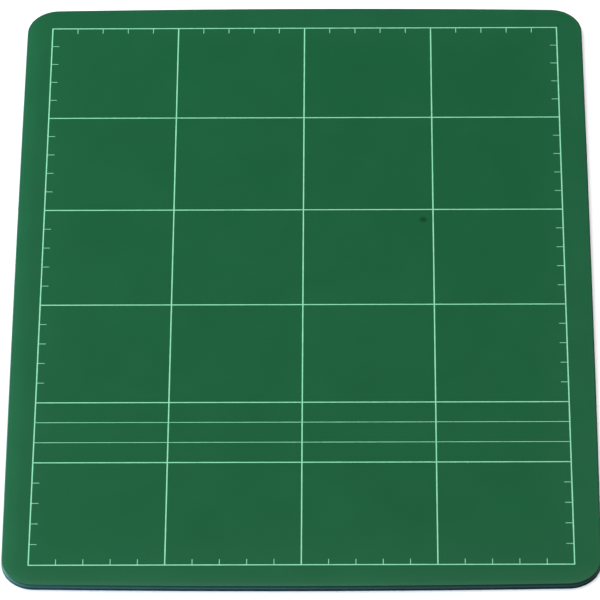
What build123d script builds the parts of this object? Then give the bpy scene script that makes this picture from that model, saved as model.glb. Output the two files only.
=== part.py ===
from build123d import *
import math
import os

# A self-healing cutting mat: three heat-fused PVC plies with a printed centimetre grid, lying flat.
# Millimetres. The origin is at the centre of the underside, +Z is up, X runs across the mat and
# +Y runs away from the user, towards the far edge.

# Sheet
MAT_WIDTH = 220.6  # along X, over the middles of the sides
MAT_LENGTH = 301.6  # along Y, over the middles of the ends
SIDE_BOW = 0.4  # the left and right sides bulge outwards by this much at their middles
END_BOW = 1.2  # and so do the near and far ends
CORNER_RADIUS = 12.0  # of the four rounded corners, seen from above
BACKING_THICKNESS = 1.0
CORE_THICKNESS = 1.0
SKIN_THICKNESS = 1.0
TOP_RIM_RADIUS = 0.4  # the die rolls the top edge over
BOTTOM_RIM_RADIUS = 0.2  # the bottom edge stays almost sharp

# Printed grid
PITCH = 10.0  # one printed centimetre
PITCHES_PER_CELL = 5  # a cell of the coarse grid is 5 cm square
STRIP_COUNT = 3  # fine strips, one pitch wide each, above the row of cells at the near edge
LEAST_MARGIN = 9.0  # bare skin between the grid and the mat's edge, at least
PRINT_OFFSET = -0.6  # the press set the grid this far from the mat's centre, towards the near end
LINE_WIDTH = 0.45  # border, columns and main rows
FINE_LINE_WIDTH = 0.25  # strip lines and ticks
TICK_LENGTH = 2.8  # inwards, from the middle of the border line
INK_DEPTH = 0.04  # the press sinks the ink film flush into the skin

# Levels
CORE_BOTTOM = BACKING_THICKNESS
SKIN_BOTTOM = CORE_BOTTOM + CORE_THICKNESS
TOP = SKIN_BOTTOM + SKIN_THICKNESS

# As many whole columns and rows as the sheet has room for
CELL = PITCHES_PER_CELL * PITCH
ROUND_OFF = 1e-6
COLUMNS = math.floor((MAT_WIDTH - 2 * LEAST_MARGIN) / CELL + ROUND_OFF)
STRIPS_LENGTH = STRIP_COUNT * PITCH
ROWS = math.floor((MAT_LENGTH - 2 * LEAST_MARGIN - STRIPS_LENGTH) / CELL + ROUND_OFF)
COLUMN_PITCHES = COLUMNS * PITCHES_PER_CELL
ROW_PITCHES = ROWS * PITCHES_PER_CELL + STRIP_COUNT
GRID_WIDTH = COLUMN_PITCHES * PITCH
GRID_LENGTH = ROW_PITCHES * PITCH
LEFT = -GRID_WIDTH / 2
NEAR = PRINT_OFFSET - GRID_LENGTH / 2

# Where full lines run, counted in pitches from the left and near border lines
COLUMN_STEPS = [column * PITCHES_PER_CELL for column in range(1, COLUMNS)]
STRIP_STEPS = [PITCHES_PER_CELL + strip for strip in range(1, STRIP_COUNT)]
FAR_STRIP_STEP = PITCHES_PER_CELL + STRIP_COUNT
ROW_STEPS = [PITCHES_PER_CELL]
ROW_STEPS += [FAR_STRIP_STEP + row * PITCHES_PER_CELL for row in range(ROWS - 1)]


def sheet(bottom, thickness):
    """One ply, die-cut to the mat's outline: four gently bowed sides with rounded corners."""
    x = MAT_WIDTH / 2 - SIDE_BOW
    y = MAT_LENGTH / 2 - END_BOW
    near_side = ThreePointArc((-x, -y), (0, -y - END_BOW), (x, -y))
    right_side = ThreePointArc((x, -y), (x + SIDE_BOW, 0), (x, y))
    far_side = ThreePointArc((x, y), (0, y + END_BOW), (-x, y))
    left_side = ThreePointArc((-x, y), (-x - SIDE_BOW, 0), (-x, -y))
    outline = make_face(Wire([near_side, right_side, far_side, left_side]))
    outline = fillet(outline.vertices(), CORNER_RADIUS)
    return Pos(0, 0, bottom) * extrude(outline, amount=thickness, dir=(0, 0, 1))


def rounded_rim(ply, level, radius):
    """The ply with its outer edge at this level rounded over."""
    rim = ply.edges().filter_by(lambda edge: abs(edge.center().Z - level) < ROUND_OFF)
    return fillet(rim, radius)


def film(x0, x1, y0, y1):
    """A rectangle of ink whose top is flush with the skin."""
    corner = Pos(x0, y0, TOP - INK_DEPTH)
    return corner * Box(x1 - x0, y1 - y0, INK_DEPTH, align=(Align.MIN, Align.MIN, Align.MIN))


def column_x(step):
    return LEFT + step * PITCH


def row_y(step):
    return NEAR + step * PITCH


# The bare inside of the border frame
HALF_LINE = LINE_WIDTH / 2
INSIDE_LEFT = column_x(0) + HALF_LINE
INSIDE_RIGHT = column_x(COLUMN_PITCHES) - HALF_LINE
INSIDE_NEAR = row_y(0) + HALF_LINE
INSIDE_FAR = row_y(ROW_PITCHES) - HALF_LINE


def border_frame():
    """The rectangle around the grid, one unbroken line."""
    outside = film(
        column_x(0) - HALF_LINE,
        column_x(COLUMN_PITCHES) + HALF_LINE,
        row_y(0) - HALF_LINE,
        row_y(ROW_PITCHES) + HALF_LINE,
    )
    return [outside - film(INSIDE_LEFT, INSIDE_RIGHT, INSIDE_NEAR, INSIDE_FAR)]


def column_lines():
    """Unbroken lines from the near border to the far one."""
    lines = []
    for step in COLUMN_STEPS:
        x = column_x(step)
        lines.append(film(x - HALF_LINE, x + HALF_LINE, INSIDE_NEAR, INSIDE_FAR))
    return lines


def row_lines(steps, width):
    """Lines from the left border to the right one, which meet each column line face to face."""
    starts = [INSIDE_LEFT] + [column_x(step) + HALF_LINE for step in COLUMN_STEPS]
    ends = [column_x(step) - HALF_LINE for step in COLUMN_STEPS] + [INSIDE_RIGHT]
    lines = []
    for step in steps:
        y = row_y(step)
        lines += [film(x0, x1, y - width / 2, y + width / 2) for x0, x1 in zip(starts, ends)]
    return lines


def side_ticks(pitches, full_line_steps):
    """The centimetres along one side that have no full line."""
    return [step for step in range(1, pitches) if step not in full_line_steps]


HALF_TICK = FINE_LINE_WIDTH / 2
ACROSS_TICKS = side_ticks(COLUMN_PITCHES, COLUMN_STEPS)
ALONG_TICKS = side_ticks(ROW_PITCHES, ROW_STEPS + STRIP_STEPS)


def across_ticks(y0, y1):
    """Ticks of the near or the far side, which stand along Y."""
    return [film(column_x(s) - HALF_TICK, column_x(s) + HALF_TICK, y0, y1) for s in ACROSS_TICKS]


def along_ticks(x0, x1):
    """Ticks of the left or the right side, which lie along X."""
    return [film(x0, x1, row_y(s) - HALF_TICK, row_y(s) + HALF_TICK) for s in ALONG_TICKS]


ink = {
    "ink_border_frame": border_frame(),
    "ink_column_lines": column_lines(),
    "ink_row_lines": row_lines(ROW_STEPS, LINE_WIDTH),
    "ink_strip_lines": row_lines(STRIP_STEPS, FINE_LINE_WIDTH),
    "ink_ticks_near": across_ticks(INSIDE_NEAR, row_y(0) + TICK_LENGTH),
    "ink_ticks_far": across_ticks(row_y(ROW_PITCHES) - TICK_LENGTH, INSIDE_FAR),
    "ink_ticks_left": along_ticks(INSIDE_LEFT, column_x(0) + TICK_LENGTH),
    "ink_ticks_right": along_ticks(column_x(COLUMN_PITCHES) - TICK_LENGTH, INSIDE_RIGHT),
}
printed = [solid for solids in ink.values() for solid in solids]

plies = {
    "backing_skin": rounded_rim(sheet(0, BACKING_THICKNESS), 0, BOTTOM_RIM_RADIUS),
    "core_sheet": sheet(CORE_BOTTOM, CORE_THICKNESS),
    "cutting_skin": rounded_rim(sheet(SKIN_BOTTOM, SKIN_THICKNESS), TOP, TOP_RIM_RADIUS) - printed,
}

os.makedirs("parts", exist_ok=True)
for node, ply in plies.items():
    export_step(ply, f"parts/{node}.step")
for node, solids in ink.items():
    export_step(Compound(solids), f"parts/{node}.step")
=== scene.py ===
import math

import bmesh
import bpy
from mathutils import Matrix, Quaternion, Vector, noise


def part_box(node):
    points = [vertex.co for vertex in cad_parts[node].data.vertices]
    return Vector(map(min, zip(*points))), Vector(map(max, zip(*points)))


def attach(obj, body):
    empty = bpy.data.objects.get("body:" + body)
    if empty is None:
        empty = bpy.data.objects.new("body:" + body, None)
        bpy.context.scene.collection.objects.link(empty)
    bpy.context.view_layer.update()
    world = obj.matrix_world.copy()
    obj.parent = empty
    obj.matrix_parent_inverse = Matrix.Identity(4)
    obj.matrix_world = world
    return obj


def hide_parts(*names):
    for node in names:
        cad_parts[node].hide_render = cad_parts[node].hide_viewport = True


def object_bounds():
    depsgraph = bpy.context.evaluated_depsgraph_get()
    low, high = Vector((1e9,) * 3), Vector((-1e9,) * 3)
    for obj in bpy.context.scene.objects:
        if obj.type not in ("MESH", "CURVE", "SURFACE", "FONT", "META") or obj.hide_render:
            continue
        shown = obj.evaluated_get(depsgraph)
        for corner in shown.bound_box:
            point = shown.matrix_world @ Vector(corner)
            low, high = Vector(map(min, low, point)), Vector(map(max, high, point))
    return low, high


# A self-healing cutting mat: three fused PVC plies with a screen-printed centimetre grid.
# Metres, in the frame of the CAD model: the origin is under the mat's centre, +Z is up and +Y runs
# away from the user.
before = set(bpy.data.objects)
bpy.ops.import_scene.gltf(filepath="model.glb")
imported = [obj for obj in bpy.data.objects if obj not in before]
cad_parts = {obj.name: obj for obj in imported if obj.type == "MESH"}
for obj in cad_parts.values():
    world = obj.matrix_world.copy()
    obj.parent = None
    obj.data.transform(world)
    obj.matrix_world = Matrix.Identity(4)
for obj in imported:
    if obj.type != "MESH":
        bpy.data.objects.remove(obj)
CAD_LOW, CAD_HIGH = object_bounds()

MM = 0.001
BODY = "root"

# ---------------------------------------------------------------- camera

AIM = Vector((-1.1 * MM, -8.2 * MM, 3.0 * MM))  # a point on the mat's face, near its middle
CAMERA_DISTANCE = 2.3122
CAMERA_AZIMUTH = math.radians(-0.828)  # it looks a little to the left of straight ahead
CAMERA_ELEVATION = math.radians(47.01)
CAMERA_ROLL = math.radians(0.753)  # its right side dips
LENS = 364.4  # a long lens, on a 36 mm sensor
SENSOR_WIDTH = 36.0


def make_camera():
    """Looks down on the mat from the user's side."""
    level = math.cos(CAMERA_ELEVATION)
    forward = Vector(
        (
            math.sin(CAMERA_AZIMUTH) * level,
            math.cos(CAMERA_AZIMUTH) * level,
            -math.sin(CAMERA_ELEVATION),
        )
    )
    camera = bpy.data.objects.new("camera", bpy.data.cameras.new("camera"))
    camera.data.lens = LENS
    camera.data.sensor_width = SENSOR_WIDTH
    camera.data.clip_start = 0.1
    camera.data.clip_end = 50.0
    camera.location = AIM - forward * CAMERA_DISTANCE
    camera.rotation_mode = "QUATERNION"
    camera.rotation_quaternion = Quaternion(forward, CAMERA_ROLL) @ forward.to_track_quat("-Z", "Y")
    bpy.context.scene.collection.objects.link(camera)
    bpy.context.scene.camera = camera


make_camera()

# ---------------------------------------------------------------- light


def linear(hex_colour):
    """An sRGB hex colour as a linear RGBA tuple."""
    channels = [int(hex_colour[i : i + 2], 16) / 255 for i in (0, 2, 4)]
    rgb = [c / 12.92 if c <= 0.04045 else ((c + 0.055) / 1.055) ** 2.4 for c in channels]
    return (*rgb, 1.0)


def away_from_mat(azimuth, elevation):
    """The direction from the mat to a light. Azimuth 0 is on the user's side, 90 on the right."""
    turn = math.radians(azimuth)
    rise = math.radians(elevation)
    level = math.cos(rise)
    return Vector((math.sin(turn) * level, -math.cos(turn) * level, math.sin(rise)))


def place_lamp(name, light, away, distance):
    lamp = bpy.data.objects.new(name, light)
    lamp.location = away * distance
    lamp.rotation_mode = "QUATERNION"
    lamp.rotation_quaternion = away.to_track_quat("Z", "Y")
    bpy.context.scene.collection.objects.link(lamp)


def softbox(name, away, distance, width, height, watts, colour):
    """A rectangular area light that faces the mat's middle from this distance."""
    light = bpy.data.lights.new(name, "AREA")
    light.shape = "RECTANGLE"
    light.size = width
    light.size_y = height
    light.energy = watts
    light.color = linear(colour)[:3]
    place_lamp(name, light, away, distance)


BANK_HEIGHT = 2.0  # its light comes from far off, so this is only where its lamp is kept


def overhead_bank(name, away, spread, irradiance, colour):
    """A ceiling of diffusers so wide that its light is even over the mat and the floor."""
    light = bpy.data.lights.new(name, "SUN")
    light.angle = math.radians(spread)
    light.energy = irradiance
    light.color = linear(colour)[:3]
    place_lamp(name, light, away, BANK_HEIGHT)


def room_light(strength):
    """The weak even light that the studio's walls send back."""
    world = bpy.data.worlds.new("studio")
    world.use_nodes = True
    world.node_tree.nodes["Background"].inputs["Color"].default_value = (1.0, 1.0, 1.0, 1.0)
    world.node_tree.nodes["Background"].inputs["Strength"].default_value = strength
    bpy.context.scene.world = world


softbox(
    "key_softbox",
    away_from_mat(-120, 30),
    distance=0.8,
    width=0.5,
    height=0.5,
    watts=3.3,
    colour="eefbff",
)
# The two strips lie just below the level of the face, so they light its rim and the cut walls and
# never glance off the face.
STRIP_HEIGHT = 0.002
softbox(
    "left_strip",
    away_from_mat(-86, 0.1),
    distance=0.8,
    width=0.5,
    height=STRIP_HEIGHT,
    watts=42.0,
    colour="ecfaff",
)
softbox(
    "front_strip",
    away_from_mat(-20, 0.2),
    distance=0.4,
    width=0.05,
    height=STRIP_HEIGHT,
    watts=1.1,
    colour="a8e0ff",
)
softbox(
    "front_softbox",
    away_from_mat(-30, 22),
    distance=0.6,
    width=0.4,
    height=0.2,
    watts=0.75,
    colour="a8dcff",
)
overhead_bank("overhead_bank", away_from_mat(-90, 88), spread=70, irradiance=3.33, colour="fdfeff")
room_light(0.04)
bpy.context.scene.view_settings.view_transform = "Standard"

# ---------------------------------------------------------------- materials


def add_node(tree, kind, inputs=None, **settings):
    """A node with its settings; an input is a plain value or the socket that feeds it."""
    node = tree.nodes.new(kind)
    for name, value in settings.items():
        setattr(node, name, value)
    for name, value in (inputs or {}).items():
        if isinstance(value, bpy.types.NodeSocket):
            tree.links.new(value, node.inputs[name])
        else:
            node.inputs[name].default_value = value
    return node


def new_material(name, **principled):
    """A material and its tree, object coordinates and Principled shader."""
    material = bpy.data.materials.new(name)
    material.use_nodes = True
    tree = material.node_tree
    tree.nodes.clear()
    shader = add_node(tree, "ShaderNodeBsdfPrincipled", principled)
    add_node(tree, "ShaderNodeOutputMaterial", {"Surface": shader.outputs["BSDF"]})
    place = add_node(tree, "ShaderNodeTexCoord").outputs["Object"]
    return material, tree, place, shader


NOISE_LOW, NOISE_HIGH = 0.3, 0.7  # a noise value seldom lies outside these


def mottle(tree, place, size, dark, light):
    """A colour that drifts between two near tones in patches of about this size."""
    drift = add_node(
        tree,
        "ShaderNodeTexNoise",
        {"Vector": place, "Scale": 1 / size, "Detail": 3.0, "Roughness": 0.55},
    )
    ramp = add_node(tree, "ShaderNodeValToRGB", {"Fac": drift.outputs["Fac"]})
    ramp.color_ramp.elements[0].position = NOISE_LOW
    ramp.color_ramp.elements[0].color = linear(dark)
    ramp.color_ramp.elements[1].position = NOISE_HIGH
    ramp.color_ramp.elements[1].color = linear(light)
    return ramp.outputs["Color"]


def patchy(tree, place, size, low, high):
    """A number that drifts between two values in patches of about this size."""
    drift = add_node(
        tree, "ShaderNodeTexNoise", {"Vector": place, "Scale": 1 / size, "Detail": 2.0}
    )
    spread = add_node(
        tree,
        "ShaderNodeMapRange",
        {
            "Value": drift.outputs["Fac"],
            "From Min": NOISE_LOW,
            "From Max": NOISE_HIGH,
            "To Min": low,
            "To Max": high,
        },
    )
    return spread.outputs["Result"]


def relief(tree, place, size, depth, normal=None):
    """A bump of this depth with bumps of about this size, on top of another if one is given."""
    height = add_node(
        tree, "ShaderNodeTexNoise", {"Vector": place, "Scale": 1 / size, "Detail": 2.0}
    )
    inputs = {"Height": height.outputs["Fac"], "Distance": depth, "Strength": 1.0}
    if normal:
        inputs["Normal"] = normal
    return add_node(tree, "ShaderNodeBump", inputs).outputs["Normal"]


PVC_IOR = 1.53
PRESSED_GLOSS = 0.11  # specular level of a pressed face
RIM_GLOSS = 0.25  # of the rolled rim, which the die burnishes
CUT_GLOSS = 0.03  # of a die-cut wall, which is finely torn
TOP = CAD_HIGH.z
CROWN_DROP = 0.15 * MM  # the face slopes away by this much at the sheet's edge
RIM = 0.4 * MM  # the die rolls the top edge over by this radius
RIM_TOP = TOP - CROWN_DROP
WALL_SHADE_END = RIM_TOP - 0.2 * RIM  # the painted shade of the cut wall begins to give way here
FACE_TONE_START = RIM_TOP + 0.3 * CROWN_DROP  # and the face's tone is whole from here up
BURNISH_END = RIM_TOP + 0.5 * CROWN_DROP  # the rim's gloss has faded here
EDGE_LIGHT_START = 1 * MM  # the painted light along the face's edge is whole this near to the edge
EDGE_LIGHT_END = 30 * MM  # and has gone this far in
NICK = Vector((46.2 * MM, 34.0 * MM, TOP))  # a small dark mark on the face
NICK_SIZE = 2.2 * MM
NICK_CORE = 0.2 * NICK_SIZE


def edge_distance(tree, axes):
    """How far a point of the sheet lies inside its straight-sided outline."""
    gaps = []
    for axis, half_size in (("X", CAD_HIGH.x), ("Y", CAD_HIGH.y)):
        size = add_node(tree, "ShaderNodeMath", {0: axes.outputs[axis]}, operation="ABSOLUTE")
        gap = add_node(
            tree, "ShaderNodeMath", {0: half_size, 1: size.outputs["Value"]}, operation="SUBTRACT"
        )
        gaps.append(gap.outputs["Value"])
    nearest = add_node(tree, "ShaderNodeMath", {0: gaps[0], 1: gaps[1]}, operation="MINIMUM")
    return nearest.outputs["Value"]


def soft_pvc_green():
    """Plasticised PVC, calendered and hot-pressed between matt plates: a deep even green with a
    soft, low sheen. It is painted a shade lighter towards the sheet's edge, painted light that
    stands in for the studio light there, and painted darker on the cut wall, as painted shade."""
    material, tree, place, shader = new_material("soft_pvc_green", **{"IOR": PVC_IOR})
    axes = add_node(tree, "ShaderNodeSeparateXYZ", {"Vector": place})
    height = axes.outputs["Z"]
    middle = mottle(tree, place, 30 * MM, "12502e", "135330")
    # A lighter tone painted towards the sheet's edge: painted light standing in for the studio
    # light there.
    painted_edge_light = mottle(tree, place, 20 * MM, "165233", "185535")
    inwards = add_node(
        tree,
        "ShaderNodeMapRange",
        {
            "Value": edge_distance(tree, axes),
            "From Min": EDGE_LIGHT_START,
            "From Max": EDGE_LIGHT_END,
        },
        interpolation_type="SMOOTHSTEP",
    )
    face = add_node(
        tree,
        "ShaderNodeMix",
        {0: inwards.outputs["Result"], 6: painted_edge_light, 7: middle},
        data_type="RGBA",
    )
    upwards = add_node(
        tree,
        "ShaderNodeMapRange",
        {"Value": height, "From Min": WALL_SHADE_END, "From Max": FACE_TONE_START},
    )
    # The cut wall is painted a darker tone: painted shade standing in for the shade on it.
    skin = add_node(
        tree,
        "ShaderNodeMix",
        {0: upwards.outputs["Result"], 6: linear("0b2a20"), 7: face.outputs[2]},
        data_type="RGBA",
    )
    from_nick = add_node(
        tree, "ShaderNodeVectorMath", {0: place, 1: NICK}, operation="DISTANCE"
    )
    clear = add_node(
        tree,
        "ShaderNodeMapRange",
        {"Value": from_nick.outputs["Value"], "From Min": NICK_CORE, "From Max": NICK_SIZE},
        interpolation_type="SMOOTHSTEP",
    )
    nicked = add_node(
        tree,
        "ShaderNodeMix",
        {0: clear.outputs["Result"], 6: linear("0b3a20"), 7: skin.outputs[2]},
        data_type="RGBA",
    )
    tree.links.new(nicked.outputs[2], shader.inputs["Base Color"])
    burnish = add_node(
        tree,
        "ShaderNodeMapRange",
        {
            "Value": height,
            "From Min": RIM_TOP,
            "From Max": BURNISH_END,
            "To Min": RIM_GLOSS,
            "To Max": PRESSED_GLOSS,
        },
    )
    gloss = add_node(
        tree,
        "ShaderNodeMapRange",
        {
            "Value": upwards.outputs["Result"],
            "To Min": CUT_GLOSS,
            "To Max": burnish.outputs["Result"],
        },
    )
    tree.links.new(gloss.outputs["Result"], shader.inputs["Specular IOR Level"])
    tree.links.new(patchy(tree, place, 12 * MM, 0.28, 0.33), shader.inputs["Roughness"])
    # The plates' matt grain is about 0.1 mm; it is drawn at 0.8 mm, so that it shows at all.
    grain = relief(tree, place, 0.8 * MM, 0.004 * MM)
    tree.links.new(relief(tree, place, 14 * MM, 0.01 * MM, grain), shader.inputs["Normal"])
    return material


def cut_ply(name, wall_dark, wall_light, roughness):
    """An unprinted ply, seen by its cut wall, in which drag marks of the die stand upright. Its
    colour is left for the caller to link."""
    material, tree, place, shader = new_material(
        name, **{"IOR": PVC_IOR, "Specular IOR Level": CUT_GLOSS}
    )
    wall = mottle(tree, place, 8 * MM, wall_dark, wall_light)
    rough = patchy(tree, place, 3 * MM, roughness, roughness + 0.1)
    tree.links.new(rough, shader.inputs["Roughness"])
    upright = add_node(
        tree, "ShaderNodeMapping", {"Vector": place, "Scale": Vector((1.0, 1.0, 0.05))}
    )
    drag = relief(tree, upright.outputs["Vector"], 0.9 * MM, 0.01 * MM)
    tree.links.new(drag, shader.inputs["Normal"])
    return material, tree, place, shader, wall


def rigid_pvc_grey():
    """Hard filled PVC, seen only as a thin grey band where the die cut it."""
    material, tree, place, shader, wall = cut_ply("rigid_pvc_grey", "203332", "233837", 0.45)
    tree.links.new(wall, shader.inputs["Base Color"])
    return material


UNDERSIDE_END = 0.02 * MM  # the underside's tone begins to give way this high up the broken edge
WALL_SHADE_START = 0.15 * MM  # and the cut wall's painted shade is whole from here up


def soft_pvc_slate():
    """Plasticised PVC, die-cut. Its pressed underside, which grips the table, keeps the ply's own
    tone; its torn wall is painted a shade darker, as painted shade."""
    # The wall tones are painted shade, darker than the underside's own tone.
    material, tree, place, shader, wall = cut_ply("soft_pvc_slate", "0f181c", "131c20", 0.4)
    axes = add_node(tree, "ShaderNodeSeparateXYZ", {"Vector": place})
    underside = mottle(tree, place, 25 * MM, "2b363b", "303c41")
    upwards = add_node(
        tree,
        "ShaderNodeMapRange",
        {"Value": axes.outputs["Z"], "From Min": UNDERSIDE_END, "From Max": WALL_SHADE_START},
    )
    skin = add_node(
        tree,
        "ShaderNodeMix",
        {0: upwards.outputs["Result"], 6: underside, 7: wall},
        data_type="RGBA",
    )
    tree.links.new(skin.outputs[2], shader.inputs["Base Color"])
    return material


INK_IOR = 1.5
INK_GLOSS = 0.2


def vinyl_ink_mint():
    """Matt vinyl screen ink, printed through a mesh: opaque, with faint mottling where the film is
    thinner."""
    material, tree, place, shader = new_material(
        "vinyl_ink_mint", **{"IOR": INK_IOR, "Specular IOR Level": INK_GLOSS}
    )
    colour = mottle(tree, place, 2.5 * MM, "7ec69e", "89d2a9")
    tree.links.new(colour, shader.inputs["Base Color"])
    tree.links.new(patchy(tree, place, 2 * MM, 0.4, 0.55), shader.inputs["Roughness"])
    # The print mesh leaves a weave of about 0.1 mm; it is drawn at 0.5 mm.
    tree.links.new(relief(tree, place, 0.5 * MM, 0.003 * MM), shader.inputs["Normal"])
    return material


def painted_floor():
    """White matt studio paint."""
    material, tree, place, shader = new_material("painted_floor", **{"Roughness": 0.9})
    tree.links.new(mottle(tree, place, 400 * MM, "fafafa", "fcfcfc"), shader.inputs["Base Color"])
    return material


# ---------------------------------------------------------------- building


def finished(name, mesh_builder, material, replaced):
    """The built mesh as a piece of the mat that stands for a CAD node."""
    mesh = bpy.data.meshes.new(name)
    mesh_builder.normal_update()
    mesh_builder.to_mesh(mesh)
    mesh_builder.free()
    mesh.materials.append(material)
    piece = bpy.data.objects.new(name, mesh)
    bpy.context.scene.collection.objects.link(piece)
    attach(piece, BODY)
    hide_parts(replaced)
    return piece


SIDE_BOW = 0.4 * MM  # the sides bulge by this much at their middles
END_BOW = 1.2 * MM
BOW_STEPS = 24  # facets of a bowed side
CORNER_RADIUS = 12.0 * MM
CORNER_STEPS = 32  # facets of a corner arc
RIM_STEPS = 8  # facets of a rolled rim
SAME_LEVEL = 1e-7


def outline(width, length):
    """A flat sheet with four gently bowed sides and rounded corners."""
    bm = bmesh.new()
    bmesh.ops.create_grid(bm, x_segments=1, y_segments=1, size=0.5)
    straight = Vector((width - 2 * SIDE_BOW, length - 2 * END_BOW, 1.0))
    bmesh.ops.scale(bm, vec=straight, verts=bm.verts)
    bmesh.ops.bevel(
        bm,
        geom=bm.verts[:],
        affect="VERTICES",
        offset=CORNER_RADIUS,
        segments=CORNER_STEPS,
        profile=0.5,
        material=-1,
    )
    sides = [edge for edge in bm.edges if edge.calc_length() > CORNER_RADIUS]
    bmesh.ops.subdivide_edges(bm, edges=sides, cuts=BOW_STEPS - 1)
    for vert in bm.verts:
        across = 2 * vert.co.x / straight.x
        along = 2 * vert.co.y / straight.y
        vert.co.x += across * SIDE_BOW * (1 - along**2)
        vert.co.y += along * END_BOW * (1 - across**2)
    return bm


def rolled(bm, level, radius):
    """The outer edge at this level rounded over."""
    rim = [e for e in bm.edges if all(abs(v.co.z - level) < SAME_LEVEL for v in e.verts)]
    bmesh.ops.bevel(
        bm,
        geom=rim,
        affect="EDGES",
        offset=radius,
        segments=RIM_STEPS,
        profile=0.5,
        material=-1,
        clamp_overlap=True,
    )


CROWN_WIDTH = 7 * MM  # the slope begins this far in from the edge
CROWN_STEPS = 10


def crowned(bm, level):
    """Makes the face at this level slope away towards its edge, ever more steeply, and returns the
    new level of its rim."""
    top = max(bm.faces, key=lambda face: face.calc_center_median().z)
    for step in range(CROWN_STEPS):
        for vert in top.verts:
            vert.co.z = level - CROWN_DROP * (1 - step / CROWN_STEPS) ** 2
        bmesh.ops.inset_region(
            bm, faces=[top], thickness=CROWN_WIDTH / CROWN_STEPS, depth=0.0, use_even_offset=True
        )
    for vert in top.verts:
        vert.co.z = level
    return level - CROWN_DROP


def ply(node, top_rim, bottom_rim, set_back=0.0, crown=False):
    """A die-cut sheet with the size and place of a CAD node."""
    low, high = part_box(node)
    bm = outline(high.x - low.x - 2 * set_back, high.y - low.y - 2 * set_back)
    bmesh.ops.translate(bm, vec=Vector((0.0, 0.0, low.z)), verts=bm.verts)
    raised = bmesh.ops.extrude_face_region(bm, geom=bm.faces[:])["geom"]
    lifted = [part for part in raised if isinstance(part, bmesh.types.BMVert)]
    bmesh.ops.translate(bm, vec=Vector((0.0, 0.0, high.z - low.z)), verts=lifted)
    bmesh.ops.recalc_face_normals(bm, faces=bm.faces)
    rolled(bm, crowned(bm, high.z) if crown else high.z, top_rim)
    rolled(bm, low.z, bottom_rim)
    for face in bm.faces:
        face.smooth = len(face.verts) == 4
    return bm


green = soft_pvc_green()
grey = rigid_pvc_grey()
slate = soft_pvc_slate()
mint = vinyl_ink_mint()

SEAM_RIM = 0.06 * MM  # each cut edge is slightly broken, which leaves a hairline at every seam
FOOT_RIM = 0.2 * MM  # the bottom edge is broken a little more
CORE_SET_BACK = 0.04 * MM  # the soft skins bulge past the hard core by this much
finished(
    "cutting_skin_sheet",
    ply("cutting_skin", RIM, SEAM_RIM, crown=True),
    green,
    "cutting_skin",
)
finished(
    "core_sheet_ply",
    ply("core_sheet", SEAM_RIM, SEAM_RIM, set_back=CORE_SET_BACK),
    grey,
    "core_sheet",
)
finished(
    "backing_skin_sheet",
    ply("backing_skin", SEAM_RIM, FOOT_RIM),
    slate,
    "backing_skin",
)

FILM_RISE = 0.015 * MM  # the ink stands this much proud of the skin, too little to feel
STATION = 2.5 * MM  # how often a line's edge may swell or thin
RAGGED = 0.03 * MM  # by how much it does
RAGGED_LENGTH = 6 * MM  # over about this length
LEAST_LEAN = 0.1  # a vertex whose normal leans less than this isn't on an edge of its line
TOUCHING = 0.001 * MM  # vertices this near to each other, or to a cut, are on it


def printed(node):
    """The ink film of a CAD node, lifted onto the skin, with a print's slightly uneven edges."""
    low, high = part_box(node)
    bm = bmesh.new()
    bm.from_mesh(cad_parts[node].data)
    bmesh.ops.remove_doubles(bm, verts=bm.verts, dist=TOUCHING)
    bmesh.ops.dissolve_limit(
        bm,
        angle_limit=math.radians(1),
        verts=bm.verts,
        edges=bm.edges,
        use_dissolve_boundaries=False,
    )
    for axis in (0, 1):
        normal = Vector((1.0, 0.0, 0.0)) if axis == 0 else Vector((0.0, 1.0, 0.0))
        count = int((high[axis] - low[axis]) / STATION)
        for k in range(1, count):
            bmesh.ops.bisect_plane(
                bm,
                geom=bm.verts[:] + bm.edges[:] + bm.faces[:],
                plane_co=low + normal * (k * (high[axis] - low[axis]) / count),
                plane_no=normal,
                dist=TOUCHING,
            )
    bm.normal_update()
    for vert in bm.verts:
        outward = Vector((vert.normal.x, vert.normal.y, 0.0))
        place = Vector((vert.co.x, vert.co.y, 0.0)) / RAGGED_LENGTH
        if outward.length > LEAST_LEAN:
            vert.co += outward.normalized() * (RAGGED * noise.noise(place))
        on_top = vert.co.z > (low.z + high.z) / 2
        vert.co.z = high.z + (FILM_RISE if on_top else 0.0)
    return bm


for node in sorted(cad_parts):
    if node.startswith("ink_"):
        finished(f"{node}_film", printed(node), mint, node)

# ---------------------------------------------------------------- floor

FLOOR_SIZE = 12.0


def make_floor():
    """A plain white floor that the mat lies on."""
    bm = bmesh.new()
    bmesh.ops.create_grid(bm, x_segments=1, y_segments=1, size=FLOOR_SIZE / 2)
    bmesh.ops.translate(bm, vec=Vector((0.0, 0.0, CAD_LOW.z)), verts=bm.verts)
    mesh = bpy.data.meshes.new("floor")
    bm.to_mesh(mesh)
    bm.free()
    mesh.materials.append(painted_floor())
    floor = bpy.data.objects.new("floor", mesh)
    bpy.context.scene.collection.objects.link(floor)


make_floor()
